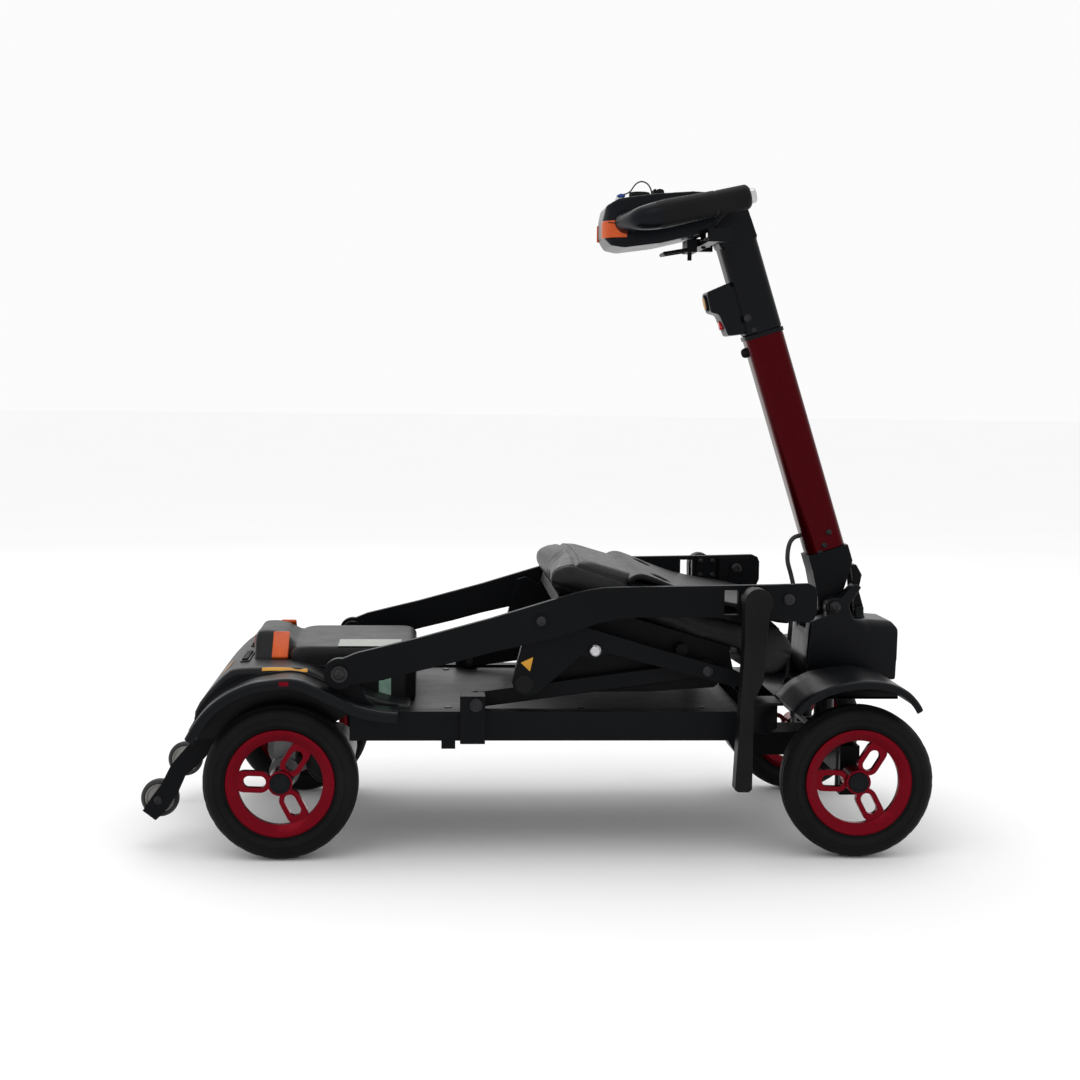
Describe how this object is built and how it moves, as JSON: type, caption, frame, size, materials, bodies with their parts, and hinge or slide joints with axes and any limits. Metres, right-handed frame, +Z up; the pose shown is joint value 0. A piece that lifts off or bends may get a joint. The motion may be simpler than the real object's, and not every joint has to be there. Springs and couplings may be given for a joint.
{
  "type": "mobility scooter",
  "caption": "Folding mobility scooter: wheels on a flat frame, lowered linkage seat with armrests, red folding tiller with console and grips.",
  "frame": {"origin": "on the ground, below the middle of the overall box, seat lowered and tiller upright", "axes": "+X forward, +Y to the rider's left, +Z up"},
  "size_m": [1.04, 0.534, 0.8816],
  "materials": {
    "frame_black": "satin black powder coat",
    "cover_black": "satin moulded black plastic",
    "deck_grey": "satin grey plate",
    "battery_case": "moulded battery case",
    "lens_red": "dark red lamp lens",
    "reflector_orange": "orange prismatic reflector",
    "alloy": "cast alloy gearbox",
    "motor_black": "black painted motor can",
    "fastener_steel": "zinc plated steel",
    "roller": "rubber rim on a plastic roller",
    "tyre": "solid black tyre",
    "red_metallic": "metallic red coat",
    "button_red": "moulded red button",
    "rubber_black": "soft black rubber",
    "key_blue": "blue key head",
    "leather_black": "black synthetic leather"
  },
  "bodies": {
    "chassis": {"left_rail": "frame_black", "right_rail": "frame_black", "front_frame": "frame_black", "deck_plate": "deck_grey", "rear_cover": "cover_black", "battery_housing": "cover_black", "battery_pack": "battery_case", "tail_lamp_lens": "lens_red", "side_reflectors": "reflector_orange", "transaxle": "alloy", "drive_motor": "motor_black", "controller": "cover_black", "anti_tip_arms": "frame_black", "link_brackets": "frame_black", "front_cover": "cover_black", "chassis_bolts": "fastener_steel", "control_cable": "rubber_black"},
    "left_anti_tip": {"left_anti_tip_wheel": "roller"},
    "right_anti_tip": {"right_anti_tip_wheel": "roller"},
    "rear_left_wheel": {"rear_left_tyre": "tyre", "rear_left_rim": "red_metallic"},
    "rear_right_wheel": {"rear_right_tyre": "tyre", "rear_right_rim": "red_metallic"},
    "left_steer": {"left_knuckle": "frame_black"},
    "right_steer": {"right_knuckle": "frame_black"},
    "front_left_wheel": {"front_left_tyre": "tyre", "front_left_rim": "red_metallic"},
    "front_right_wheel": {"front_right_tyre": "tyre", "front_right_rim": "red_metallic"},
    "track_rod": {"tie_rod": "fastener_steel"},
    "head": {"steering_head": "frame_black", "fold_pin": "fastener_steel"},
    "pedal": {"latch_pedal": "frame_black"},
    "tiller": {"tiller_knuckle": "frame_black", "tiller_tube": "red_metallic", "upper_casting": "cover_black", "control_box": "cover_black", "charge_cap": "reflector_orange", "console": "cover_black", "console_reflectors": "reflector_orange", "handlebar": "frame_black", "grips": "rubber_black", "transport_hook": "frame_black"},
    "button": {"power_button": "button_red"},
    "throttle": {"throttle_lever": "cover_black"},
    "dial": {"speed_dial": "cover_black"},
    "switch_key": {"key": "key_blue"},
    "beams": {"left_beam": "frame_black", "right_beam": "frame_black", "beam_plates": "frame_black", "back_shell": "cover_black", "back_cushion": "leather_black"},
    "seat": {"seat_pan": "frame_black", "seat_cushion": "leather_black", "left_seat_rail": "frame_black", "right_seat_rail": "frame_black"},
    "links": {"left_link": "frame_black", "right_link": "frame_black"},
    "left_arm": {"left_armrest": "rubber_black"},
    "right_arm": {"right_armrest": "rubber_black"}
  },
  "joints": [
    {"name": "steering", "type": "hinge", "parent": "chassis", "child": "head", "pos_m": [0.42, 0, 0.15], "axis": [0, 0, 1], "range_deg": [-22, 22]},
    {"name": "left_kingpin", "type": "hinge", "parent": "chassis", "child": "left_steer", "pos_m": [0.42, 0.145, 0.1], "axis": [0, 0, 1], "range_deg": [-22, 22]},
    {"name": "right_kingpin", "type": "hinge", "parent": "chassis", "child": "right_steer", "pos_m": [0.42, -0.145, 0.1], "axis": [0, 0, 1], "range_deg": [-22, 22]},
    {"name": "tie_rod_slide", "type": "slide", "parent": "chassis", "child": "track_rod", "axis": [0, 1, 0], "range_m": [-0.0156, 0.0156]},
    {"name": "rear_left_spin", "type": "hinge", "parent": "chassis", "child": "rear_left_wheel", "pos_m": [-0.33, 0.205, 0.1], "axis": [0, 1, 0], "continuous": true},
    {"name": "rear_right_spin", "type": "hinge", "parent": "chassis", "child": "rear_right_wheel", "pos_m": [-0.33, -0.205, 0.1], "axis": [0, 1, 0], "continuous": true},
    {"name": "front_left_spin", "type": "hinge", "parent": "left_steer", "child": "front_left_wheel", "pos_m": [0.42, 0.205, 0.1], "axis": [0, 1, 0], "continuous": true},
    {"name": "front_right_spin", "type": "hinge", "parent": "right_steer", "child": "front_right_wheel", "pos_m": [0.42, -0.205, 0.1], "axis": [0, 1, 0], "continuous": true},
    {"name": "left_anti_tip_spin", "type": "hinge", "parent": "chassis", "child": "left_anti_tip", "pos_m": [-0.495, 0.129, 0.062], "axis": [0, 1, 0], "continuous": true},
    {"name": "right_anti_tip_spin", "type": "hinge", "parent": "chassis", "child": "right_anti_tip", "pos_m": [-0.495, -0.129, 0.062], "axis": [0, 1, 0], "continuous": true},
    {"name": "tiller_fold", "type": "hinge", "parent": "head", "child": "tiller", "pos_m": [0.42, 0, 0.311], "axis": [0, 1, 0], "range_deg": [-48, 0], "deforming": ["control_cable"]},
    {"name": "latch_pedal_press", "type": "hinge", "parent": "head", "child": "pedal", "pos_m": [0.462, 0, 0.301], "axis": [0, 1, 0], "range_deg": [0, 12], "stiffness_Nm_per_rad": 0.5},
    {"name": "seat_lift", "type": "hinge", "parent": "chassis", "child": "beams", "pos_m": [-0.255, 0, 0.241], "axis": [0, -1, 0], "range_deg": [0, 98]},
    {"name": "seat_level", "type": "hinge", "parent": "beams", "child": "seat", "pos_m": [0.003, 0, 0.31], "axis": [0, -1, 0], "range_deg": [-77.38, 0]},
    {"name": "link_swing", "type": "hinge", "parent": "chassis", "child": "links", "pos_m": [-0.08, 0, 0.202], "axis": [0, -1, 0], "range_deg": [0, 92.15]},
    {"name": "left_armrest_lift", "type": "hinge", "parent": "beams", "child": "left_arm", "pos_m": [0.276, 0.242, 0.34], "axis": [0, -1, 0], "range_deg": [0, 90]},
    {"name": "right_armrest_lift", "type": "hinge", "parent": "beams", "child": "right_arm", "pos_m": [0.276, -0.242, 0.34], "axis": [0, -1, 0], "range_deg": [0, 90]},
    {"name": "power_button_press", "type": "slide", "parent": "tiller", "child": "button", "axis": [0.9833, 0, 0.1822], "range_m": [0, 0.0014], "stiffness_N_per_m": 300},
    {"name": "throttle_swing", "type": "hinge", "parent": "tiller", "child": "throttle", "pos_m": [0.236, 0, 0.81], "axis": [0, 0, 1], "range_deg": [-10, 10], "stiffness_Nm_per_rad": 0.5},
    {"name": "speed_dial_turn", "type": "hinge", "parent": "tiller", "child": "dial", "pos_m": [0.148, 0.018, 0.875], "axis": [0, 0, 1], "range_deg": [-135, 135]},
    {"name": "key_turn", "type": "hinge", "parent": "tiller", "child": "switch_key", "pos_m": [0.118, -0.02, 0.866], "axis": [0, 0, 1], "range_deg": [0, 90]}
  ],
  "couplings": [
    {"joint": "left_kingpin", "follows": "steering", "ratio": 1},
    {"joint": "right_kingpin", "follows": "steering", "ratio": 1},
    {"joint": "tie_rod_slide", "follows": "steering", "m_per_rad": -0.0396},
    {"joint": "seat_level", "follows": "seat_lift", "ratio": -0.7865},
    {"joint": "link_swing", "follows": "seat_lift", "ratio": 0.9373}
  ]
}
